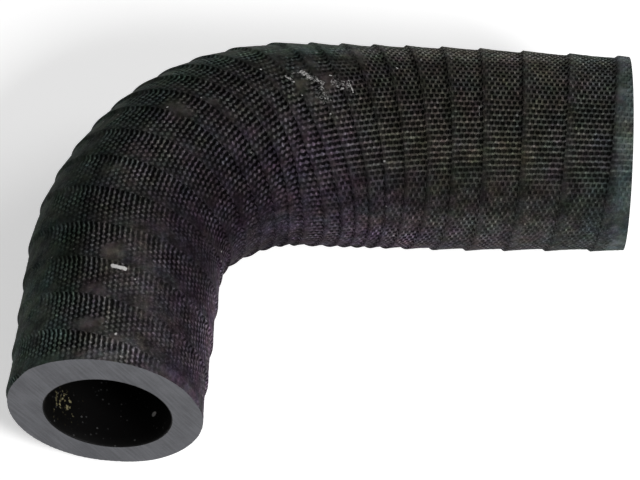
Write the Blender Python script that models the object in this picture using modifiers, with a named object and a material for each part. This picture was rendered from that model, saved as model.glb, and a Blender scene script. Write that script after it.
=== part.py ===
# Preformed oil return hose: a thick-walled rubber elbow, cured inside a spiral winding of woven tape.
# The tape is gone, and each of its turns has left a sloping band with a sharp edge round the hose.
# Lengths are in metres and angles in degrees. A station is a length along the hose's axis from the
# cut face of the long leg. The hose lies flat, with the long leg along +X and the short one towards -Y.
import math

import bmesh
import bpy
import numpy as np

# Axis
long_leg = 0.0605          # straight run from the long leg's cut face to the bend
short_leg = 0.0298         # straight run from the bend to the short leg's cut face
bend_radius = 0.0317
bend_angle = 85.5

# Outside, over the low side of the tape's turns
long_end_diameter = 0.0357
body_diameter = 0.0371     # of the long leg and the first half of the bend
short_leg_diameter = 0.0350
swell_length = 0.035       # over which the long leg swells from its end to the body
neck_delay = 0.0152        # from the start of the bend to the place where the body starts to draw in
neck_length = 0.0215       # over which it draws in to the short leg

# Bore
bore_diameter = 0.0230
bore_inward = 0.0006       # the core lay off the middle, towards the inside of the bend
bore_drop = 0.0007         # and low, so the wall is thickest on top

# Imprint of the tape
long_leg_lead = 0.00905    # advance of one turn at the long leg's end
short_leg_lead = 0.0080
tight_lead = 0.00366       # advance of the closest turns
tight_delay = 0.0010       # from the start of the bend to the closest turns
tight_reach = 0.0324       # how far along the axis the turns draw together
first_turn = 0.385         # share of a turn already laid, on the inside of the bend, at the long cut face
step_height = 0.0004       # of each turn's edge
step_share = 0.07          # of a turn's width that its edge drops over
middle_rise = 0.27         # height of the middle of a turn, as a share of its edge's

# Lean of the turns: on the inside of the bend they lie nearer the long end than on its outside
lean = 0.0108
lean_delay = 0.0075        # from the start of the bend to the turns that lean most
lean_reach = 0.0148
back_lean = 0.0030         # the other way, on the short leg
back_lean_delay = 0.026    # from the start of the bend to the place where it sets in
back_lean_length = 0.027   # over which it grows
bow = 0.0020               # on top, the turns of the long leg also lie nearer its end
bow_ahead = 0.0162         # from the turns that bow most to the start of the bend
bow_reach = 0.0116

# Facets
sides = 48
bore_sides = 40
bend_rings = 26            # of the bore, round the bend
axis_steps = 96            # of each span of the axis
winding_steps = 2000       # in which the tape's advance is added up
run_out = 0.020            # spare length of the winding and of the core past each cut face
cut_snap = 0.00002         # a cut takes the points that lie this close to it
merge_gap = 0.000001       # points nearer than this are one
crease_angle = 35.0        # sharper edges than this are shaded as edges

bend_start = long_leg
bend_length = bend_radius * math.radians(bend_angle)
length = long_leg + bend_length + short_leg
bore_radius = bore_diameter / 2


def ease(share):
    """0 before the start, 1 after the end, and a smooth rise between them."""
    share = min(max(share, 0.0), 1.0)
    return share * share * (3.0 - 2.0 * share)


def bump(distance, reach):
    return math.exp(-((distance / reach) ** 2))


def skin_radius(station):
    swell = ease(station / swell_length)
    neck = ease((station - bend_start - neck_delay) / neck_length)
    diameter = long_end_diameter + (body_diameter - long_end_diameter) * swell
    diameter += (short_leg_diameter - body_diameter) * neck
    return diameter / 2


def tape_lead(station):
    past_bend = ease((station - bend_start) / bend_length)
    open_lead = long_leg_lead + (short_leg_lead - long_leg_lead) * past_bend
    return open_lead - (open_lead - tight_lead) * bump(station - bend_start - tight_delay, tight_reach)


def turn_shift(station, around):
    """How far a turn that crosses the axis at a station lies from it, at an angle from the bend's inside."""
    back = back_lean * ease((station - bend_start - back_lean_delay) / back_lean_length)
    ahead = lean / math.cosh((station - bend_start - lean_delay) / lean_reach)
    up = bow * bump(station - bend_start + bow_ahead, bow_reach)
    return (back - ahead) * math.cos(around) - up * math.sin(around)


def winding():
    """Stations along the axis, spare ends too, and the turns of tape laid between the cut face and each."""
    stations = np.linspace(-run_out, length + run_out, winding_steps + 1)
    turns_a_metre = np.array([1.0 / tape_lead(station) for station in stations])
    between = (turns_a_metre[1:] + turns_a_metre[:-1]) / 2 * np.diff(stations)
    laid = np.concatenate(([0.0], np.cumsum(between)))
    return stations, laid - np.interp(0.0, stations, laid)


def new_object(name, data, collection):
    obj = bpy.data.objects.new(name, data)
    collection.objects.link(obj)
    return obj


def rubber():
    material = bpy.data.materials.new("cured_rubber")
    material.use_nodes = True
    shader = material.node_tree.nodes["Principled BSDF"]
    shader.inputs["Base Color"].default_value = (0.018, 0.017, 0.016, 1.0)
    shader.inputs["Roughness"].default_value = 0.72
    shader.inputs["Metallic"].default_value = 0.0
    return material


def tape_turns(collection, laid):
    """Straight rod wound with the tape, its turns still of even width: one turn's slope, screwed along +X."""
    first = math.floor(laid[0])
    last = math.ceil(laid[-1])
    radius = body_diameter / 2
    # Slope of one turn: share of its width, and share of the step's height
    slope = [(0.0, 1.0), (step_share, 0.0), (0.5, middle_rise), (1.0, 1.0)]
    mesh = bpy.data.meshes.new("slope")
    shape = bmesh.new()
    points = [shape.verts.new((first + share, 0.0, radius + step_height * rise)) for share, rise in slope]
    for near, far in zip(points, points[1:]):
        shape.edges.new((near, far))
    shape.to_mesh(mesh)
    shape.free()
    rod = new_object("hose", mesh, collection)
    screw = rod.modifiers.new("tape", "SCREW")
    screw.axis = "X"
    screw.angle = -math.tau
    screw.screw_offset = 1.0
    screw.iterations = last - first
    screw.steps = screw.render_steps = sides
    screw.use_merge_vertices = True
    screw.merge_threshold = 0.0001
    rod.data = bpy.data.meshes.new_from_object(rod.evaluated_get(bpy.context.evaluated_depsgraph_get()))
    rod.modifiers.clear()
    bpy.data.meshes.remove(mesh)
    return rod


def lay_turns(rod, stations, laid):
    """Gives the even turns their real lead, lean and diameter. X comes in turns and leaves in metres."""
    quarter = 0.25    # the slope starts on top, a quarter turn from the inside of the bend
    radius = body_diameter / 2
    for point in rod.data.vertices:
        along = float(np.interp(point.co.x - first_turn - quarter, laid, stations))
        around = math.atan2(point.co.z, point.co.y)
        height = math.hypot(point.co.y, point.co.z) - radius
        station = along + turn_shift(along, around)
        reach = skin_radius(station) + height
        point.co = (station, reach * math.cos(around), reach * math.sin(around))


def cut_ends(rod):
    shape = bmesh.new()
    shape.from_mesh(rod.data)
    bmesh.ops.remove_doubles(shape, verts=shape.verts, dist=merge_gap)
    for station, keep in ((0.0, 1.0), (length, -1.0)):
        everything = shape.verts[:] + shape.edges[:] + shape.faces[:]
        bmesh.ops.bisect_plane(shape, geom=everything, dist=cut_snap, plane_co=(station, 0.0, 0.0),
                               plane_no=(-keep, 0.0, 0.0), clear_outer=True)
    bmesh.ops.holes_fill(shape, edges=[edge for edge in shape.edges if edge.is_boundary])
    bmesh.ops.recalc_face_normals(shape, faces=shape.faces)
    shape.to_mesh(rod.data)
    shape.free()


def core(collection):
    """Core that the bore is formed on, with a ring for each facet of the bend."""
    mesh = bpy.data.meshes.new("core")
    shape = bmesh.new()
    bmesh.ops.create_cone(shape, cap_ends=True, segments=bore_sides, radius1=bore_radius,
                          radius2=bore_radius, depth=length + 2 * run_out)
    for point in shape.verts:
        point.co = (point.co.z + length / 2, point.co.x + bore_inward, point.co.y - bore_drop)
    for ring in range(bend_rings + 1):
        everything = shape.verts[:] + shape.edges[:] + shape.faces[:]
        station = bend_start + bend_length * ring / bend_rings
        bmesh.ops.bisect_plane(shape, geom=everything, plane_co=(station, 0.0, 0.0), plane_no=(1.0, 0.0, 0.0))
    bmesh.ops.recalc_face_normals(shape, faces=shape.faces)
    shape.to_mesh(mesh)
    shape.free()
    return new_object("core", mesh, collection)


def axis_curve(collection):
    """The hose's axis from the long leg's cut face to the short leg's, with the bend as one true arc."""
    turn = math.radians(bend_angle)
    heading = (-math.cos(turn), -math.sin(turn))
    bend_end = (-bend_radius * math.sin(turn), bend_radius * (math.cos(turn) - 1.0))
    pull = bend_radius * 4.0 / 3.0 * math.tan(turn / 4.0)
    stops = [
        ((long_leg, 0.0), (-1.0, 0.0), long_leg / 3, long_leg / 3),
        ((0.0, 0.0), (-1.0, 0.0), long_leg / 3, pull),
        (bend_end, heading, pull, short_leg / 3),
        (tuple(e + h * short_leg for e, h in zip(bend_end, heading)), heading, short_leg / 3, short_leg / 3),
    ]
    data = bpy.data.curves.new("axis", "CURVE")
    data.dimensions = "3D"
    data.twist_mode = "Z_UP"
    data.resolution_u = data.render_resolution_u = axis_steps
    spline = data.splines.new("BEZIER")
    spline.bezier_points.add(len(stops) - 1)
    for point, (place, direction, before, after) in zip(spline.bezier_points, stops):
        point.handle_left_type = point.handle_right_type = "FREE"
        point.co = (*place, 0.0)
        point.handle_left = (*(p - d * before for p, d in zip(place, direction)), 0.0)
        point.handle_right = (*(p + d * after for p, d in zip(place, direction)), 0.0)
    return new_object("axis", data, collection)


def hide(guide):
    guide.hide_render = True
    guide.display_type = "WIRE"


def stand(root, obj):
    """Moves the root so that the finished hose lies on the ground, centred on the origin."""
    bpy.context.view_layer.update()
    lying = obj.evaluated_get(bpy.context.evaluated_depsgraph_get())
    corners = [lying.matrix_world @ point.co for point in lying.data.vertices]
    low = [min(corner[axis] for corner in corners) for axis in range(3)]
    high = [max(corner[axis] for corner in corners) for axis in range(3)]
    root.location = (-(low[0] + high[0]) / 2, -(low[1] + high[1]) / 2, -low[2])


def main():
    for obj in list(bpy.data.objects):
        bpy.data.objects.remove(obj)
    parts = bpy.data.collections.new("oil_return_hose")
    guides = bpy.data.collections.new("guides")
    for collection in (parts, guides):
        bpy.context.scene.collection.children.link(collection)

    root = new_object("resting_place", None, guides)
    stations, laid = winding()
    hose = tape_turns(parts, laid)
    lay_turns(hose, stations, laid)
    cut_ends(hose)
    hose.data.shade_smooth()
    hose.data.set_sharp_from_angle(angle=math.radians(crease_angle))
    hose.data.materials.clear()
    hose.data.materials.append(rubber())

    bore = core(guides)
    drill = hose.modifiers.new("bore", "BOOLEAN")
    drill.operation = "DIFFERENCE"
    drill.solver = "EXACT"
    drill.object = bore

    axis = axis_curve(guides)
    bend = hose.modifiers.new("bend", "CURVE")
    bend.object = axis
    bend.deform_axis = "POS_X"

    for obj in (hose, bore, axis):
        obj.parent = root
    for guide in (bore, axis):
        hide(guide)
    stand(root, hose)


main()
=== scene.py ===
import math

import bmesh
import bpy
import numpy as np
from mathutils import Matrix, Vector


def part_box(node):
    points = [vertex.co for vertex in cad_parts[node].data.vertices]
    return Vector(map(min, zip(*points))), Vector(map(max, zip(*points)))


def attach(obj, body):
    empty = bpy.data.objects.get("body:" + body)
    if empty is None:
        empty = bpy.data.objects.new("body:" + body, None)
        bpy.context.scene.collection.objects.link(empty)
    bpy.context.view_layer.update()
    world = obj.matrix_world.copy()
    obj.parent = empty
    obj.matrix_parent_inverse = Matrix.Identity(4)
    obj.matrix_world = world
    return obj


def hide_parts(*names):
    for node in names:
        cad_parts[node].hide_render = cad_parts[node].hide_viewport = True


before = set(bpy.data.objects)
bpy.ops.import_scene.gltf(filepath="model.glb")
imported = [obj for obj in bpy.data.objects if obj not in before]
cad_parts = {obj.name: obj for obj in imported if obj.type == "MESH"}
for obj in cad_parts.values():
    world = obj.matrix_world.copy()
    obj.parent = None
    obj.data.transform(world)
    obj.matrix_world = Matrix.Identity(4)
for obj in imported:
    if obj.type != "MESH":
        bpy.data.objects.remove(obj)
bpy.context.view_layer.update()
print("frame loaded")

# The hose, in metres and degrees. A station is a length along its axis from the long leg's cut face.
# An angle round it starts on the inside of the bend and runs up over the top.
hose = dict(
    longLeg=0.0605, shortLeg=0.0298, bendRadius=0.0317, bendAngle=85.5,
    longEnd=0.0357, body=0.0371, shortEnd=0.0350,        # outside diameters
    swell=0.035,                                         # over which the long end swells to the body
    neckDelay=0.0152, neck=0.0215,                       # from the bend's start to the neck, and its length
    bore=0.0230, boreInward=0.0006, boreDrop=0.0007, boreSides=96, boreRings=70,
    mouth=0.00025, mouthRings=(0.0, 0.07, 0.3, 1.0),     # its rounding, and where the rings lie in it
)
bendTurn = math.radians(hose["bendAngle"])
bendLength = hose["bendRadius"] * bendTurn
length = hose["longLeg"] + bendLength + hose["shortLeg"]
skinSlot, cutSlot, boreSlot = 0, 1, 2    # of the hose's materials

# The woven curing tape, long gone, that was wound round the hose and left its imprint
tape = dict(
    lead=0.00905, shortLegLead=0.0080, tightLead=0.00366, tightDelay=0.0010, tightReach=0.0324,
    firstTurn=0.385,                   # laid at the long cut face, on the inside of the bend
    step=0.0004, stepShare=0.07,       # height of a turn's edge, and share of the turn that it drops over
    hollow=1.7,                        # how hollow the turn's face is
    lean=0.0108, leanDelay=0.0075, leanReach=0.0148, backLean=0.0030, backDelay=0.026, backLength=0.027,
    bow=0.0020, bowAhead=0.0162, bowReach=0.0116,
    wobble=0.00012, wobbleTurns=0.37, wobbleSeed=3,
    wobbleStart=0.002,                 # from the long cut face to where the edge wobbles freely
    past=0.030, steps=4000,            # past each cut face, and in which its advance is added up
    turnsAhead=2.1, turnsSpare=4.2,    # of the ribbon, before the hose and in all
)

# The imprint of its cloth: rows of pits along the tape, one for each float of a thread
weave = dict(
    columns=225,                       # two for each thread that crosses the tape, in one turn
    rows=34, rowPitch=0.000525,        # of the threads that run along the tape
    rowGap=0.00014,                    # a row that comes nearer to the next turn's edge ends there
    threadLean=0.68,                   # of the crossing threads, as a share of the turns' lean
    pit=0.00016, bridge=0.30,          # depth of a pit, and between two of a row as a share of it
    weakFrom=0.72, weakest=0.35,       # share of a turn past which the imprint grows weaker, and how weak
    atRim=0.5,                         # its strength by the cut faces
    wornOff=0.75, faintOff=0.9,        # what it loses in worn and faint places
    swing=0.25, swingRates=(17.0, 13.3), swingSeed=11,
    wander=0.00009, wanderRates=(9.0, 31.7), rough=0.000016, seed=7,
)

# The plain strips by the cut faces, and how far they fade; on top, the short one's colour is wider
strip = dict(
    long=0.0022, longFade=0.0016, short=0.0009, shortFade=0.0012,
    shade=0.0005, shadeTop=0.0011, shadeFade=0.0013,
)


def ease(share):
    share = np.clip(share, 0.0, 1.0)
    return share * share * (3.0 - 2.0 * share)


def hill(distance, reach):
    return np.exp(-((distance / reach) ** 2))


def skinRadius(station):
    swell = ease(station / hose["swell"])
    neck = ease((station - hose["longLeg"] - hose["neckDelay"]) / hose["neck"])
    diameter = hose["longEnd"] + (hose["body"] - hose["longEnd"]) * swell
    return (diameter + (hose["shortEnd"] - hose["body"]) * neck) / 2


def tapeLead(station):
    past = ease((station - hose["longLeg"]) / bendLength)
    openLead = tape["lead"] + (tape["shortLegLead"] - tape["lead"]) * past
    tight = hill(station - hose["longLeg"] - tape["tightDelay"], tape["tightReach"])
    return openLead - (openLead - tape["tightLead"]) * tight


def leanAhead(station):
    return tape["lean"] / np.cosh((station - hose["longLeg"] - tape["leanDelay"]) / tape["leanReach"])


def turnShift(station, around):
    fromBend = station - hose["longLeg"]
    back = tape["backLean"] * ease((fromBend - tape["backDelay"]) / tape["backLength"])
    up = tape["bow"] * hill(fromBend + tape["bowAhead"], tape["bowReach"])
    return (back - leanAhead(station)) * np.cos(around) - up * np.sin(around)


def smoothNoise(places, spacing, seed):
    # one soft random curve from -1 to 1, with a new value every spacing
    count = 4096
    knots = np.random.default_rng(seed).uniform(-1.0, 1.0, count)
    at = places / spacing + 40.0
    low = np.floor(at).astype(int)
    share = ease(at - low)
    return knots[low % count] * (1.0 - share) + knots[(low + 1) % count] * share


def threadNoise(turn, row, rates, seed):
    perTurn, perRow = rates
    return smoothNoise(turn * perTurn + row * perRow, 1.0, seed)


def pastStrips(station, short, fade):
    # 0 on the plain strips by the cut faces, 1 past them
    return ease((station - strip["long"]) / strip["longFade"]) * ease((length - short - station) / fade)


def tapeEdge(turn):
    # station and angle of the tape's edge, after this many turns
    around = -math.tau * (turn + tape["firstTurn"])
    along = np.interp(turn, laid, stations)
    start = tape["wobbleStart"]
    wobble = tape["wobble"] * smoothNoise(turn, tape["wobbleTurns"], tape["wobbleSeed"])
    return along + turnShift(along, around) + wobble * ease((along + start) / (2 * start)), around


stations = np.linspace(-tape["past"], length + tape["past"], tape["steps"] + 1)
turnsAMetre = 1.0 / tapeLead(stations)
laid = np.concatenate(([0.0], np.cumsum((turnsAMetre[1:] + turnsAMetre[:-1]) / 2 * np.diff(stations))))
laid -= np.interp(0.0, stations, laid)

# Wear, and spots of painted light: worn and faint spots are wear, shaded spots painted shade and pale spots a
# painted sheen. A spot is its station in mm, angle, half length in mm, half span in degrees and strength.
# A stroke is two ends, each a station in mm and an angle, then its half width in mm and strength.
wear = dict(
    worn=[
        (82.5, 102, 1.8, 8, 0.8), (77.0, 94, 1.2, 6, 0.7), (98.0, 107, 2.2, 8, 0.8), (114.5, 92, 1.8, 8, 0.9),
        (123.0, 100, 1.3, 5, 0.8), (130.0, 100, 1.4, 10, 0.9), (61.0, 113, 5.0, 15, 0.85),
        (60.8, 92, 1.5, 6, 0.9), (55.9, 95, 1.3, 7, 0.9), (58.6, 84, 1.2, 4, 0.6), (52.0, 116, 3.0, 9, 0.6),
        (96.0, 152, 40.0, 26, 0.55), (1.9, 89, 1.4, 8, 1.0), (66.5, 93, 1.6, 5, 0.5),
    ],
    faint=[
        (104.0, 168, 44.0, 34, 0.95), (76.0, -4, 22.0, 36, 1.0), (30.0, -4, 46.0, 44, 0.75),
        (121.0, 32, 22.0, 58, 0.65), (58.0, 134, 12.0, 16, 0.9),
    ],
    # painted shade: darker spots, the largest on the bend's inside and on the short leg's left side
    shaded=[
        (94.0, 38, 24.0, 28, 0.75), (118.0, 119, 22.0, 9, 0.5), (26.0, 40, 30.0, 9, 0.2),
        (69.0, -21, 12.0, 17, 1.0),
    ],
    # painted sheen: lighter spots, the strongest along the hose's grazing edges
    pale=[
        (32.0, -17, 46.0, 33, 1.2), (58.0, 60, 8.0, 44, 0.2), (121.0, -14, 20.0, 34, 1.6),
        (124.0, 86, 16.0, 26, 0.6), (94.0, 97, 13.0, 10, 0.35), (134.5, 88, 3.0, 22, 1.2),
        (36.0, 134, 46.0, 15, 2.8), (0.6, 62, 2.6, 84, 0.55), (8.0, 108, 20.0, 16, 0.4),
        (92.0, 145, 36.0, 24, 1.2), (129.0, 146, 14.0, 32, 2.6),
    ],
    strokes=[
        (63.5, 98.5, 62.1, 93.0, 0.13, 1.0), (62.2, 99.5, 60.8, 101.0, 0.22, 0.55),
        (60.7, 101.5, 59.3, 97.5, 0.42, 0.95), (59.3, 97.5, 57.0, 93.0, 0.40, 0.70),
        (57.2, 93.0, 56.9, 90.0, 0.30, 0.6), (60.9, 117.0, 59.8, 111.5, 0.10, 0.5),
        (58.3, 122.5, 57.9, 122.3, 0.20, 0.8), (55.6, 99.5, 55.4, 99.4, 0.14, 1.2),
        (55.2, 99.2, 53.9, 98.8, 0.10, 0.5), (52.2, 95.5, 51.3, 87.5, 0.14, 0.85),
        (54.2, 91.8, 54.0, 91.2, 0.16, 0.9), (53.5, 89.6, 53.2, 89.3, 0.16, 0.9),
        (54.8, 94.5, 52.6, 92.0, 0.80, 0.55), (57.4, 88.5, 56.3, 82.5, 0.90, 0.50),
        (60.8, 84.8, 60.6, 84.2, 0.12, 0.8), (55.5, 73.7, 55.3, 73.3, 0.13, 1.2),
        (117.7, 92.5, 118.1, 84.8, 0.30, 1.6), (114.6, 136.0, 114.5, 132.0, 0.12, 0.55),
        (132.0, 85.0, 131.9, 84.8, 0.20, 1.2), (30.5, 111.0, 30.4, 110.8, 0.14, 1.2),
        (43.4, 107.0, 43.3, 106.8, 0.14, 1.2), (67.3, 105.0, 67.2, 104.8, 0.14, 1.2),
        (84.0, 105.0, 83.9, 104.8, 0.12, 1.0), (28.3, 82.0, 28.2, 76.0, 0.09, 0.6),
    ],
    core=0.55, fade=0.9,    # shares of a spot's size: up to where it is whole, and over which it fades
)
arcMm = 0.3238    # round the hose, in one degree


def spots(kind, station, around):
    amount = np.zeros_like(station)
    for mm, angle, halfLength, halfSpan, strength in wear[kind]:
        turned = (np.degrees(around) - angle + 180.0) % 360.0 - 180.0
        away = ((station * 1000 - mm) / halfLength) ** 2 + (turned / halfSpan) ** 2
        amount = np.maximum(amount, strength * (1.0 - ease((np.sqrt(away) - wear["core"]) / wear["fade"])))
    return amount


def places(mesh):
    flat = np.empty(len(mesh.vertices) * 3)
    mesh.vertices.foreach_get("co", flat)
    return flat.reshape(-1, 3)


def wholeNumbers(items, name):
    values = np.empty(len(items), int)
    items.foreach_get(name, values)
    return values


def flatRibbon(count):
    shape = bmesh.new()
    bmesh.ops.create_grid(shape, x_segments=count, y_segments=weave["rows"], size=0.5)
    mesh = bpy.data.meshes.new("ribbon")
    shape.to_mesh(mesh)
    shape.free()
    return mesh


def imprintStrength(station, around, share, turn, row):
    fading = ease((share - weave["weakFrom"]) / (1.0 - weave["weakFrom"]))
    rim = pastStrips(station, strip["short"], strip["shortFade"])
    worn, faint = (spots(kind, station, around) for kind in ("worn", "faint"))
    strength = 1.0 - (1.0 - weave["weakest"]) * fading
    strength *= (weave["atRim"] + (1.0 - weave["atRim"]) * rim) * (1.0 - weave["wornOff"] * worn)
    strength *= 1.0 - weave["faintOff"] * faint
    return strength * (1.0 + weave["swing"] * threadNoise(turn, row, weave["swingRates"], weave["swingSeed"]))


def windSkin():
    # a flat ribbon, wound on the hose; rows that would pass the next turn's edge end there
    columns, bendStart = weave["columns"], hose["longLeg"]
    first = math.ceil((tape["firstTurn"] - tape["turnsAhead"]) * columns)
    count = math.ceil((np.interp(length, stations, laid) + tape["turnsSpare"]) * columns)
    mesh = flatRibbon(count)
    flat = places(mesh)
    column = np.rint((flat[:, 0] + 0.5) * count) + first
    row = np.rint((flat[:, 1] + 0.5) * weave["rows"])    # row 0 is the tape's edge, row 1 the foot of its step
    line = row - 1.0
    turn = column / columns - tape["firstTurn"]
    edge, around = tapeEdge(turn)
    nextEdge = tapeEdge(turn + 1.0)[0]
    foot = edge + tape["stepShare"] * (nextEdge - edge)
    # on the outside of the bend the hose is longer than its axis, and on the inside shorter
    onBend = np.clip((nextEdge - bendStart) / (nextEdge - foot), 0.0, 1.0)
    onBend *= np.clip((bendStart + bendLength - foot) / (nextEdge - foot), 0.0, 1.0)
    stretch = 1.0 - onBend * skinRadius(foot) * np.cos(around) / hose["bendRadius"]
    pitch = weave["rowPitch"] / stretch
    stray = weave["wander"] * threadNoise(turn, row, weave["wanderRates"], weave["seed"])
    station = foot + line * pitch + np.where(line > 0, stray, 0.0)
    ended = station > nextEdge - weave["rowGap"]
    station = np.where(ended, nextEdge, station)
    station = np.where(row == 0, edge, station)
    share = np.clip((station - foot) / (nextEdge - foot), 0.0, 1.0)
    height = tape["step"] * np.where(row == 0, 1.0, share ** tape["hollow"])
    # where the turns lean across the bend, the threads that cross the tape lean with them
    slant = weave["threadLean"] * leanAhead(foot) * np.sin(around) / skinRadius(foot) ** 2
    crossing = column / 2 - slant * (station - foot) / math.tau * columns / 2
    groove = 0.5 + 0.5 * np.cos(math.tau * crossing)
    floats = 0.5 - 0.5 * np.cos(math.pi * np.rint(crossing)) * np.cos(math.pi * line)
    floats = groove * (weave["bridge"] + (1.0 - weave["bridge"]) * floats)
    strength = imprintStrength(station, around, share, turn, row)
    grit = np.random.default_rng(weave["seed"]).normal(0.0, weave["rough"], len(row))
    height += np.where((row > 0) & ~ended, grit - weave["pit"] * floats * strength, 0.0)
    reach = skinRadius(station) + height
    wound = np.stack((station, reach * np.cos(around), reach * np.sin(around)), 1)
    mesh.vertices.foreach_set("co", wound.ravel())
    corner = wholeNumbers(mesh.loops, "vertex_index")
    across = np.where(row == 0, -1.0, (station - foot) / pitch)
    for name, pair in (("threads", (crossing, across)), ("band", (share, turn))):
        layer = mesh.uv_layers.new(name=name)
        layer.data.foreach_set("uv", np.stack(pair, 1)[corner].ravel())
    return mesh


def boreTube():
    # tube along X; the last rings at each end round its mouth
    radius, mouth, rings = hose["bore"] / 2, hose["mouth"], hose["boreRings"]
    last = len(hose["mouthRings"]) - 1
    shape = bmesh.new()
    bmesh.ops.create_cone(shape, cap_ends=False, segments=hose["boreSides"], radius1=radius, radius2=radius,
                          depth=2.0)
    long = [edge for edge in shape.edges if abs(edge.verts[0].co.z - edge.verts[1].co.z) > 1.0]
    bmesh.ops.subdivide_edges(shape, edges=long, cuts=rings - 1, use_grid_fill=True)
    for point in shape.verts:
        ring = round((point.co.z + 1.0) / 2 * rings)
        toEnd = min(ring, rings - ring)
        station = length * (ring - last) / (rings - 2 * last)
        out = 1.0
        if toEnd <= last:
            inside = hose["mouthRings"][toEnd] * mouth
            station = inside if ring <= last else length - inside
            out += (mouth - math.sqrt(mouth ** 2 - (mouth - inside) ** 2)) / radius
        point.co = (station, point.co.x * out + hose["boreInward"], point.co.y * out - hose["boreDrop"])
    for face in shape.faces:
        face.material_index = boreSlot
    mesh = bpy.data.meshes.new("tube")
    shape.to_mesh(mesh)
    shape.free()
    return mesh


tolerance = dict(merge=0.000001, sliver=0.0000005, cut=0.00001, onCut=0.00002)    # distances taken as none


def openLoop(shape, station):
    near = tolerance["onCut"]
    return [edge for edge in shape.edges
            if edge.is_boundary and all(abs(point.co.x - station) < near for point in edge.verts)]


def closeHose(skin, tube):
    # merges the turns, cuts both ends square, and closes the cut faces between skin and bore
    shape = bmesh.new()
    shape.from_mesh(skin)
    bmesh.ops.remove_doubles(shape, verts=shape.verts, dist=tolerance["merge"])
    bmesh.ops.dissolve_degenerate(shape, edges=shape.edges, dist=tolerance["sliver"])
    for station, keep in ((0.0, 1.0), (length, -1.0)):
        everything = shape.verts[:] + shape.edges[:] + shape.faces[:]
        bmesh.ops.bisect_plane(shape, geom=everything, dist=tolerance["cut"], plane_co=(station, 0.0, 0.0),
                               plane_no=(-keep, 0.0, 0.0), clear_outer=True)
    print("ends cut")
    shape.from_mesh(tube)
    for station in (0.0, length):
        made = bmesh.ops.triangle_fill(shape, use_beauty=True, edges=openLoop(shape, station))
        for face in made["geom"]:
            if isinstance(face, bmesh.types.BMFace):
                face.material_index = cutSlot
    bmesh.ops.recalc_face_normals(shape, faces=shape.faces)
    for face in shape.faces:
        face.smooth = face.material_index != cutSlot
    for edge in shape.edges:
        edge.smooth = len({face.material_index for face in edge.link_faces}) == 1
    mesh = bpy.data.meshes.new("oilReturnHose")
    shape.to_mesh(mesh)
    openEdges = sum(1 for edge in shape.edges if not edge.is_manifold)
    print("hose closed:", len(shape.faces), "faces,", openEdges, "open edges")
    shape.free()
    return mesh


def markWear(mesh, station, around):
    # the spots as attributes; the shaded ones carry painted shade and the pale ones a painted sheen
    marks = {kind: spots(kind, station, around) for kind in ("worn", "faint", "shaded", "pale")}
    onTop = ease((np.sin(around) - 0.1) / 0.8)
    marks["rim"] = 1.0 - pastStrips(station, strip["shade"] + strip["shadeTop"] * onTop, strip["shadeFade"])
    for name, values in marks.items():
        mesh.attributes.new(name, "FLOAT", "POINT").data.foreach_set("value", values)


# The flat layout: its seam, the start and size of the skin's and the bore's part, along and round them,
# and the middles and scale of the two cut faces
layout = dict(
    seam=-89.6, skin=((0.004, 0.992), (0.004, 0.842)), bore=((0.33, 0.66), (0.862, 0.13)),
    shortCut=0.235, longCut=0.08, cutMiddle=0.925, cutScale=3.6,
)


def layOut(mesh):
    # the flat layout, then millimetres on the skin and metres on the cut faces
    spot = places(mesh)
    around = np.arctan2(spot[:, 2], spot[:, 1])
    markWear(mesh, spot[:, 0], around)
    corner = wholeNumbers(mesh.loops, "vertex_index")
    size = wholeNumbers(mesh.polygons, "loop_total")
    owner = np.repeat(np.arange(len(size)), size)
    slot = wholeNumbers(mesh.polygons, "material_index")[owner]
    # each face keeps to one side of the seam
    seam = layout["seam"] / 360.0
    turnOf = around[corner] / math.tau
    middle = [np.bincount(owner, wave(math.tau * turnOf), len(size)) for wave in (np.cos, np.sin)]
    middle = np.arctan2(middle[1], middle[0])[owner] / math.tau
    share = (middle - seam) % 1.0 + (turnOf - middle + 0.5) % 1.0 - 0.5
    x = spot[corner, 0] / length
    across, up = spot[corner, 1], spot[corner, 2]

    def unrolled(side):
        (left, wide), (low, tall) = layout[side]
        return left + wide * x, low + tall * share

    uv = np.where(slot == skinSlot, unrolled("skin"), unrolled("bore"))
    flat = (np.where(x > 0.5, layout["shortCut"], layout["longCut"]) + across * layout["cutScale"],
            layout["cutMiddle"] + up * layout["cutScale"])
    uv = np.where(slot == cutSlot, flat, uv)
    mesh.uv_layers.new(name="OFBake").data.foreach_set("uv", uv.T.ravel())
    skin = np.stack((x * length * 1000, (share + seam) * 360.0 * arcMm), 1)
    mesh.uv_layers.new(name="skin").data.foreach_set("uv", skin.ravel())
    threads = mesh.uv_layers["threads"].data
    pairs = np.empty(len(corner) * 2)
    threads.foreach_get("uv", pairs)
    pairs = pairs.reshape(-1, 2)
    pairs[slot == cutSlot] = np.stack((across, up), 1)[slot == cutSlot]
    pairs[slot == boreSlot] = np.stack((x * length, share), 1)[slot == boreSlot]
    threads.foreach_set("uv", pairs.ravel())


def bendHose(mesh):
    # from the straight hose to its place in the frame
    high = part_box("hose")[1]
    spot = places(mesh)
    station, inward = spot[:, 0], spot[:, 1]
    turned = np.clip((station - hose["longLeg"]) / hose["bendRadius"], 0.0, bendTurn)
    straight = station - hose["longLeg"] - turned * hose["bendRadius"]
    x = -(hose["bendRadius"] - inward) * np.sin(turned) - straight * np.cos(turned)
    y = (hose["bendRadius"] - inward) * np.cos(turned) - hose["bendRadius"] - straight * np.sin(turned)
    x += high.x - hose["longLeg"]
    y += high.y - hose["body"] / 2 - tape["step"]
    mesh.vertices.foreach_set("co", np.stack((x, y, spot[:, 2] + high.z / 2), 1).ravel())
    mesh.update()


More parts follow.
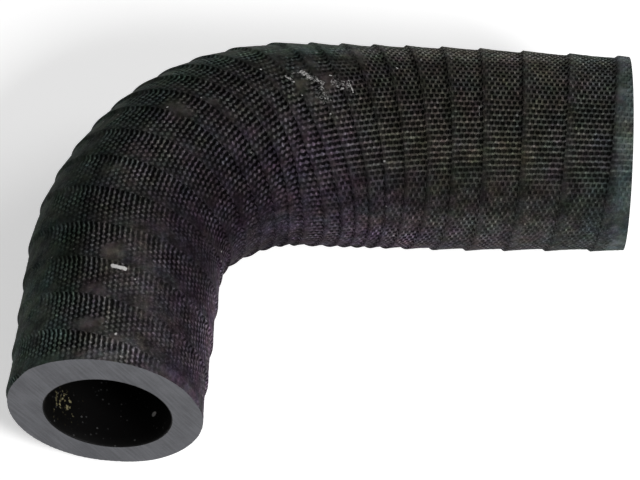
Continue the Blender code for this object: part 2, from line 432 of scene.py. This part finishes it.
class Wire:
    # a socket; arithmetic on it adds Math nodes
    def __init__(self, finish, socket):
        self.finish = finish
        self.socket = socket

    def calc(self, operation, *others):
        return self.finish.add("Math", dict(operation=operation), dict(enumerate((self, *others))))

    def cosine(self):
        return self.calc("COSINE")

    def atMost(self, limit):
        return self.calc("MINIMUM", limit)

    def atLeast(self, limit):
        return self.calc("MAXIMUM", limit)

    def __add__(self, other):
        return self.calc("ADD", other)

    def __radd__(self, other):
        return self.calc("ADD", other)

    def __sub__(self, other):
        return self.calc("SUBTRACT", other)

    def __rsub__(self, other):
        return self.finish.add("Math", dict(operation="SUBTRACT"), {0: other, 1: self})

    def __mul__(self, other):
        return self.calc("MULTIPLY", other)

    def __rmul__(self, other):
        return self.calc("MULTIPLY", other)

    def __truediv__(self, other):
        return self.calc("DIVIDE", other)

    def __pow__(self, other):
        return self.calc("POWER", other)


class Finish:
    # nodes of a material or of the world, and the one method that adds any of them
    def __init__(self, owner, end="Principled BSDF"):
        self.owner = owner
        owner.use_nodes = True
        self.tree = owner.node_tree
        self.end = self.tree.nodes[end]

    def add(self, kind, settings=None, inputs=None, output=0):
        node = self.tree.nodes.new("ShaderNode" + kind)
        for key, value in (settings or {}).items():
            setattr(node, key, value)
        for key, value in (inputs or {}).items():
            self.feed(node.inputs[key], value)
        return Wire(self, node.outputs[output])

    def feed(self, socket, value):
        if isinstance(value, Wire):
            self.tree.links.new(value.socket, socket)
        else:
            socket.default_value = value

    def set(self, **values):
        for key, value in values.items():
            self.feed(self.end.inputs[key.replace("_", " ")], value)

    def soft(self, value, low, high):
        # 0 at low, 1 at high, smooth between
        limits = {0: value, 1: low, 2: high, 3: 0.0, 4: 1.0}
        return self.add("MapRange", dict(interpolation_type="SMOOTHSTEP"), limits)

    def within(self, value, rise, fall):
        return self.soft(value, *rise) * self.soft(value, *fall)

    def noise(self, vector, scale, detail=2.0, rough=0.5, output=0):
        look = {"Vector": vector, "Scale": scale, "Detail": detail, "Roughness": rough}
        return self.add("TexNoise", None, look, output)

    def specks(self, vector, scale):
        # distance to the nearest of many scattered points, in the cells' own size
        look = {"Vector": vector, "Scale": scale, "Randomness": 1.0}
        return self.add("TexVoronoi", dict(feature="F1"), look, "Distance")

    def axis(self, vector, which):
        return self.add("SeparateXYZ", None, {0: vector}, which)

    def distance(self, vector, place):
        return self.add("VectorMath", dict(operation="DISTANCE"), {0: vector, 1: place}, "Value")

    def stretch(self, vector, scales):
        return self.add("VectorMath", dict(operation="MULTIPLY"), {0: vector, 1: scales})

    def scaled(self, vector, scale):
        return self.add("VectorMath", dict(operation="SCALE"), {0: vector, "Scale": scale})

    def mix(self, factor, first, second, blend="MIX"):
        return self.add("Mix", dict(data_type="RGBA", blend_type=blend), {0: factor, 6: first, 7: second}, 2)

    def bump(self, height, strength=1.0):
        self.set(Normal=self.add("Bump", None, {"Strength": strength, "Distance": 1.0, "Height": height}))


def newFinish(name):
    return Finish(bpy.data.materials.new(name))


# Colours are linear. A pair of numbers is where a change sets in and where it is whole: mm along the hose,
# degrees round it, or shares of a turn's width. Three numbers are a noise's scale, detail and roughness.
rubber = dict(
    ridgeHighlight=(0.057, 0.056, 0.056, 1.0), flank=(0.0195, 0.0192, 0.0192, 1.0), plain=(0.0165, 0.0162, 0.0162, 1.0),
    pit=(0.0026, 0.0026, 0.0026, 1.0), glint=(0.125, 0.123, 0.123, 1.0), dust=(0.066, 0.065, 0.065, 1.0),
    earth=(0.071, 0.065, 0.060, 1.0), chalk=(0.52, 0.51, 0.50, 1.0),
    longRim=(0.060, 0.064, 0.068, 1.0), shortRim=(0.050, 0.050, 0.050, 1.0), rims=(40.0, 60.0),
    stray=(0.55, 3.0, 0.6), strayBy=0.40,        # of the crossing threads, and how far
    spotty=(0.8, 2.0, 0.7), sparkle=(1.15, 1.0, 0.5),
    patches=(90.0, 3.0, 0.6), blots=(240.0, 3.0, 0.6), mottle=(430.0, 3.0, 0.7), grain=(2600.0, 3.0, 0.65),
    blotches=0.34, blotch=(240.0, 3.0, 0.7),     # changes of hue: how strong, and their noise
    beady=(46.0, 64.0),                          # the net turns into beads along the hose
    ridges=((30.0, 50.0), (76.0, 54.0)),         # painted highlights: ridges lit round the long leg
    beads=((54.0, 68.0), (94.0, 80.0)),          # and there painted highlights on the beads
    comb=(0.30, 0.06), combRound=(45.0, 65.0), combed=0.6,    # beads run together by the tape's edge
    shadeDark=0.55, rough=0.5, gloss=0.006, pitBump=0.00030, grainBump=0.000014,
)

# Painted coloured light: colour casts laid on by the side a face turns to, whose sides are cosines of the angle
# from the one that they face
casts = dict(
    faces=5.0, purple=(1.17, 0.92, 1.24, 1.0), purpleSide=(0.08, 1.08),
    between=(1.03, 1.0, 1.0, 1.0), green=(0.80, 1.06, 0.93, 1.0), greenSide=(-0.05, -0.52), along=(10.0, 48.0),
    end=(0.88, 1.03, 0.98, 1.0), byEnd=(20.0, 4.0),
    warm=(1.03, 1.0, 0.87, 1.0), top=(0.027, 0.020, 0.037), byTop=(0.034, 0.012),    # metres
)


def paintedLightTint(f, body, station, angle):
    side = ((angle - casts["faces"]) * math.radians(1.0)).cosine()
    cast = f.mix(f.soft(side, *casts["greenSide"]), casts["between"], casts["green"])
    cast = f.mix(f.soft(side, *casts["purpleSide"]), cast, casts["purple"])
    tint = f.mix(f.soft(station, *casts["along"]), (1.0, 1.0, 1.0, 1.0), cast)
    tint = f.mix(f.soft(station, *casts["byEnd"]), tint, casts["end"])
    return f.mix(f.soft(f.distance(body, casts["top"]), *casts["byTop"]), tint, casts["warm"])


def strokeMask(f, skin):
    # the wisps of chalk and dust, each the space round a short line on the skin
    wisps = None
    for mm, angle, endMm, endAngle, halfWidth, strength in wear["strokes"]:
        start = Vector((mm, angle * arcMm, 0.0))
        run = Vector((endMm, endAngle * arcMm, 0.0)) - start
        unit = tuple(run / run.length_squared)
        away = f.add("VectorMath", dict(operation="SUBTRACT"), {0: skin, 1: tuple(start)})
        share = f.add("VectorMath", dict(operation="DOT_PRODUCT"), {0: away, 1: unit}, "Value")
        gap = f.distance(away, f.scaled(tuple(run), share.atLeast(0.0).atMost(1.0)))
        wisp = f.soft(gap, halfWidth * 1.7, halfWidth * 0.6) * strength
        wisps = wisp if wisps is None else wisps.atLeast(wisp)
    return wisps


def chalkMask(f, skin, body, patches, grain):
    # the strokes, broken up by the grain, and some lint
    wisps = strokeMask(f, skin)
    lint = f.soft(f.specks(body, 300.0), 0.075, 0.045) * f.soft(patches, 0.52, 0.60)
    return (wisps * f.soft(grain + wisps * 0.25, 0.60, 0.80) + lint * 0.5).atMost(1.0)


def imprintFinish():
    f = newFinish("imprintedRubber")
    threads, band, skin = (f.add("UVMap", dict(uv_map=name)) for name in ("threads", "band", "skin"))
    body = f.add("TexCoord", None, None, "Object")
    worn, faint, shaded, pale, rim = (f.add("Attribute", dict(attribute_name=name), None, "Fac")
                                    for name in ("worn", "faint", "shaded", "pale", "rim"))
    patches, blots, grain = (f.noise(body, *rubber[name]) for name in ("patches", "blots", "grain"))
    stray, spotty = (f.noise(threads, *rubber[name]) for name in ("stray", "spotty"))
    crossing = f.axis(threads, 0) + (stray - 0.5) * rubber["strayBy"]
    line, share = f.axis(threads, 1), f.axis(band, 0)
    station, angle = f.axis(skin, 0), f.axis(skin, 1) / arcMm
    zone = angle + (patches - 0.5) * 24.0
    worn = worn * f.soft(blots, 0.34, 0.56)
    faint = faint * f.soft(patches, 0.30, 0.50)

    # the floats' pits are staggered: each thread's lie between its neighbour's
    side = (crossing.calc("ROUND") * math.pi).cosine()
    along = ((line + (spotty - 0.5) * 0.3) * math.pi).cosine()
    beady = f.soft(station, *rubber["beady"])
    ridgesLit = f.within(zone, *rubber["ridges"]) * (1.0 - beady)
    comb = beady * f.soft(share, *rubber["comb"]) * f.soft(zone, *rubber["combRound"]) * rubber["combed"]
    groove = ((crossing + side * along * (beady - comb) * 0.13) * math.tau).cosine() * 0.5 + 0.5
    bridge = 0.08 + beady * 0.60 + ridgesLit * 0.22 + comb * 0.20
    between = side * along * 0.5 + 0.5
    pit = groove * (bridge + f.soft(between, 0.88, 0.32) * (1.0 - bridge))
    bead = (crossing.calc("FLOOR") * math.pi).cosine() * along * 0.5 + 0.5
    crest = f.soft(groove, 0.62, 0.10)

    # the imprint fades towards the next turn, and in worn, faint and blotted places
    fading = f.soft(share, weave["weakFrom"] - beady * 0.42, 1.0) * (1.0 - weave["weakest"])
    blotted = f.soft(blots, 0.52, 0.66) * (0.15 + beady * 0.25)
    imprint = 1.0 - (fading + worn * 0.95 + faint * 0.85 + rim * 0.3 + blotted).atMost(0.95)
    # painted shade: the pits darkened in colour, less where the ridges are lit
    dark = f.soft(pit + (spotty - 0.5) * 0.35, 0.06 + beady * 0.14, 0.46 + beady * 0.22)
    dark = dark * (0.15 + imprint * 0.85) * (0.94 - ridgesLit * 0.14)

    # painted highlights on what stands proud of the pits: whole ridges, the beads on them, or the bars between
    # the pits of a row, each lit in its own range of angles round the hose, and painted glints on them
    beadsLit = f.within(zone, *rubber["beads"]).atLeast(beady)
    barsLit = (1.0 - ridgesLit - beadsLit).atLeast(0.0)
    bar = f.soft(between, 0.45, 0.95) * f.soft(groove, 0.15, 0.7)
    highlight = ridgesLit * 0.8 + beadsLit * bead * bead * (1.0 - comb) + comb * 0.40 + beady * 0.10 + 0.16
    highlight = crest * highlight + bar * barsLit * 0.9
    highlight = highlight * (0.45 + f.soft(spotty, 0.30, 0.70) * 1.1)
    sparkle = f.soft(f.noise(threads, *rubber["sparkle"]), 0.48, 0.70) * highlight * imprint

    colour = f.mix(imprint, rubber["plain"], rubber["flank"])
    # painted highlight on the ridges, painted glints, then painted shade in the pits
    colour = f.mix((highlight * imprint).atMost(1.0), colour, rubber["ridgeHighlight"])
    colour = f.mix((sparkle * 0.8).atMost(1.0), colour, rubber["glint"])
    colour = f.mix(dark, colour, rubber["pit"])
    dusty = f.soft(patches, 0.45, 0.75) * 0.10 + f.soft(grain, 0.54, 0.72) * (0.30 + faint * 0.5)
    colour = f.mix(dusty * (1.0 - dark), colour, rubber["dust"])
    colour = f.mix(f.soft(grain, 0.50, 0.36) * faint * 0.6, colour, rubber["pit"])
    colour = f.mix(worn * 0.34, colour, rubber["earth"])
    rimColour = f.mix(f.soft(station, *rubber["rims"]), rubber["longRim"], rubber["shortRim"])
    colour = f.mix(rim * f.soft(patches, 0.30, 0.60) * 0.45, colour, rimColour)
    # painted shadow along each turn's step, in the pits' colour
    step = f.soft(line, 0.1, -0.6) * f.soft(patches, 0.35, 0.65) * imprint
    colour = f.mix(step * 0.6, colour, rubber["pit"])
    colour = f.mix(1.0, colour, paintedLightTint(f, body, station, angle), "MULTIPLY")
    blotches = f.stretch(f.noise(body, *rubber["blotch"], "Color"), (2.0, 2.0, 2.0))
    colour = f.mix(rubber["blotches"], colour, blotches, "MULTIPLY")
    mottle = 0.6 + f.soft(f.noise(body, *rubber["mottle"]), 0.34, 0.66) * 0.8
    # random mottle, with painted shade in the shaded spots and a painted sheen in the pale ones
    colour = f.scaled(colour, mottle * (1.0 - shaded * rubber["shadeDark"]) * (1.0 + pale))
    chalk = chalkMask(f, skin, body, patches, grain)
    colour = f.mix(chalk, colour, rubber["chalk"])
    f.set(Base_Color=colour, Roughness=rubber["rough"] + dark * 0.3 + chalk * 0.2,
          Specular_IOR_Level=rubber["gloss"])

    hollow = 1.0 - (1.0 - pit) ** 1.7    # narrow ridges between wide pits
    hollow = hollow + crest * (1.0 - bead) * (beady - comb) * 0.4
    f.bump(grain * rubber["grainBump"] - hollow * imprint * (1.0 - chalk) * rubber["pitBump"])
    return f.owner


cutFace = dict(
    dark=(0.078, 0.079, 0.087, 1.0), light=(0.130, 0.132, 0.144, 1.0), slant=56.0, streaks=(110.0, 1900.0, 1.0),
    grain=2200.0, cloud=160.0, rough=0.6, gloss=0.2, streakBump=0.00006, grainBump=0.00001,
)


def cutFinish():
    # knife streaks run slantwise over the cut faces
    f = newFinish("cutRubber")
    place = f.add("UVMap", dict(uv_map="threads"))
    slant = {"Vector": place, "Angle": math.radians(cutFace["slant"])}
    turned = f.add("VectorRotate", dict(rotation_type="Z_AXIS"), slant)
    streaks = f.noise(f.stretch(turned, cutFace["streaks"]), 1.0, 3.0, 0.6)
    grain = f.noise(place, cutFace["grain"], 2.0, 0.6)
    cloud = f.noise(place, cutFace["cloud"], 2.0, 0.5)
    tone = streaks * 0.5 + cloud * 0.35 + grain * 0.15
    f.set(Base_Color=f.mix(f.soft(tone, 0.34, 0.66), cutFace["dark"], cutFace["light"]),
          Roughness=cutFace["rough"], Specular_IOR_Level=cutFace["gloss"])
    f.bump(streaks * cutFace["streakBump"] + grain * cutFace["grainBump"])
    return f.owner


# The sludge and the crumb are places in the frame, and the sludge has a reach, in metres
bore = dict(
    wall=(0.0016, 0.0015, 0.0015, 1.0), dirt=(0.20, 0.18, 0.10, 1.0), pale=(0.07, 0.07, 0.07, 1.0),
    white=(0.90, 0.88, 0.85, 1.0), sludge=(-0.0460, -0.0318, 0.0114), reach=0.0046,
    crumb=(-0.0296, -0.0330, 0.0097), crumbSize=(0.0006, 0.0004),
    grain=1800.0, specks=900.0, some=420.0, lumps=1050.0, rough=0.55, gloss=0.08, grainBump=0.00002,
)


def boreFinish():
    # bare wall with specks of dust, a patch of crumbs near the mouth and one white crumb
    f = newFinish("boreRubber")
    body = f.add("TexCoord", None, None, "Object")
    grain = f.noise(body, bore["grain"], 2.0, 0.6)
    some = f.noise(body, bore["some"], 2.0, 0.5)
    away = f.distance(body, bore["sludge"])
    near = f.soft(away, bore["reach"], 0.0)
    lumps = f.soft(f.noise(body, bore["lumps"], 2.0, 0.6) + near * 0.16, 0.66, 0.74)
    lumps = lumps * (0.2 + f.soft(some, 0.35, 0.60) * 0.8)
    lumps = lumps * f.soft(away, bore["reach"] * 1.2, bore["reach"] * 0.7)
    crumb = f.soft(f.distance(body, bore["crumb"]), *bore["crumbSize"])
    dust = f.soft(f.specks(body, bore["specks"]), 0.22, 0.10) * f.soft(some, 0.42, 0.60) * 0.8
    colour = f.mix(dust, bore["wall"], bore["pale"])
    colour = f.mix(lumps, colour, bore["dirt"])
    colour = f.mix(crumb, colour, bore["white"])
    f.set(Base_Color=colour, Roughness=bore["rough"], Specular_IOR_Level=bore["gloss"])
    f.bump(grain * bore["grainBump"])
    return f.owner


def buildHose():
    mesh = closeHose(windSkin(), boreTube())
    layOut(mesh)
    bendHose(mesh)
    for material in (imprintFinish(), cutFinish(), boreFinish()):
        mesh.materials.append(material)
    piece = bpy.data.objects.new("oilReturnHose", mesh)
    bpy.context.scene.collection.objects.link(piece)
    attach(piece, "root")
    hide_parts("hose")
    print("hose built")


# The photograph's view: a long lens, high in front of the hose, tilted a little
view = dict(
    turn=-1.324, height=57.259, roll=2.876, distance=0.9, target=(-0.000389, -0.000351, 0.01895),
    lens=276.1, sensor=36.0, nearest=0.05, farthest=20.0,
)


def placeCamera():
    turn, height, roll = (math.radians(view[key]) for key in ("turn", "height", "roll"))
    back = Vector((math.sin(turn) * math.cos(height), -math.cos(turn) * math.cos(height), math.sin(height)))
    right = Vector((0.0, 0.0, 1.0)).cross(back).normalized()
    up = back.cross(right)
    sideways = right * math.cos(roll) + up * math.sin(roll)
    upright = up * math.cos(roll) - right * math.sin(roll)
    data = bpy.data.cameras.new("camera")
    data.lens, data.sensor_width, data.sensor_fit = view["lens"], view["sensor"], "HORIZONTAL"
    data.clip_start, data.clip_end = view["nearest"], view["farthest"]
    camera = bpy.data.objects.new("camera", data)
    turned = Matrix((sideways, upright, back)).transposed().to_4x4()
    camera.matrix_world = Matrix.Translation(Vector(view["target"]) + back * view["distance"]) @ turned
    bpy.context.scene.collection.objects.link(camera)
    bpy.context.scene.camera = camera


studio = dict(
    floorSize=6.0, floorColour=(0.80, 0.80, 0.80, 1.0), floorLift=0.55, floorRough=0.9, floorGloss=0.2,
    sky=0.10,    # light from all round
    lamps=[  # compass angle from +X, height, distance, side, power
        ("keyLamp", -46.0, 38.0, 1.2, 0.36, 13.0),
        ("sideLamp", 15.0, 42.0, 1.3, 0.60, 5.0),
    ],
)


def plainSight(f):
    # 1 for the rays that show a background, 0 for those that only light the hose
    camera, glossy, through = (f.add("LightPath", None, None, "Is " + ray + " Ray")
                               for ray in ("Camera", "Glossy", "Transmission"))
    return camera.atLeast(glossy).atLeast(through)


def layFloor():
    plane = bmesh.new()
    bmesh.ops.create_grid(plane, x_segments=1, y_segments=1, size=studio["floorSize"] / 2)
    mesh = bpy.data.meshes.new("floor")
    plane.to_mesh(mesh)
    plane.free()
    f = newFinish("paleFloor")
    lift = f.mix(plainSight(f), (0.0, 0.0, 0.0, 1.0), (studio["floorLift"],) * 3 + (1.0,))
    f.set(Base_Color=studio["floorColour"], Roughness=studio["floorRough"],
          Specular_IOR_Level=studio["floorGloss"], Emission_Color=lift, Emission_Strength=1.0)
    mesh.materials.append(f.owner)
    floor = bpy.data.objects.new("floor", mesh)
    bpy.context.scene.collection.objects.link(floor)


def hangLamp(name, compass, height, distance, side, power):
    data = bpy.data.lights.new(name, "AREA")
    data.shape, data.size, data.energy = "SQUARE", side, power
    compass, height = math.radians(compass), math.radians(height)
    level = math.cos(height)
    towards = Vector((math.cos(compass) * level, math.sin(compass) * level, math.sin(height)))
    lamp = bpy.data.objects.new(name, data)
    lamp.location = towards * distance
    lamp.rotation_euler = towards.to_track_quat("Z", "Y").to_euler()
    bpy.context.scene.collection.objects.link(lamp)


def setStudio():
    layFloor()
    for lamp in studio["lamps"]:
        hangLamp(*lamp)
    world = bpy.data.worlds.new("studio")
    f = Finish(world, "Background")
    f.set(Color=(1.0, 1.0, 1.0, 1.0), Strength=studio["sky"] + plainSight(f) * (1.0 - studio["sky"]))
    bpy.context.scene.world = world
    bpy.context.scene.view_settings.view_transform = "Standard"


placeCamera()
setStudio()
print("camera and studio set")
buildHose()
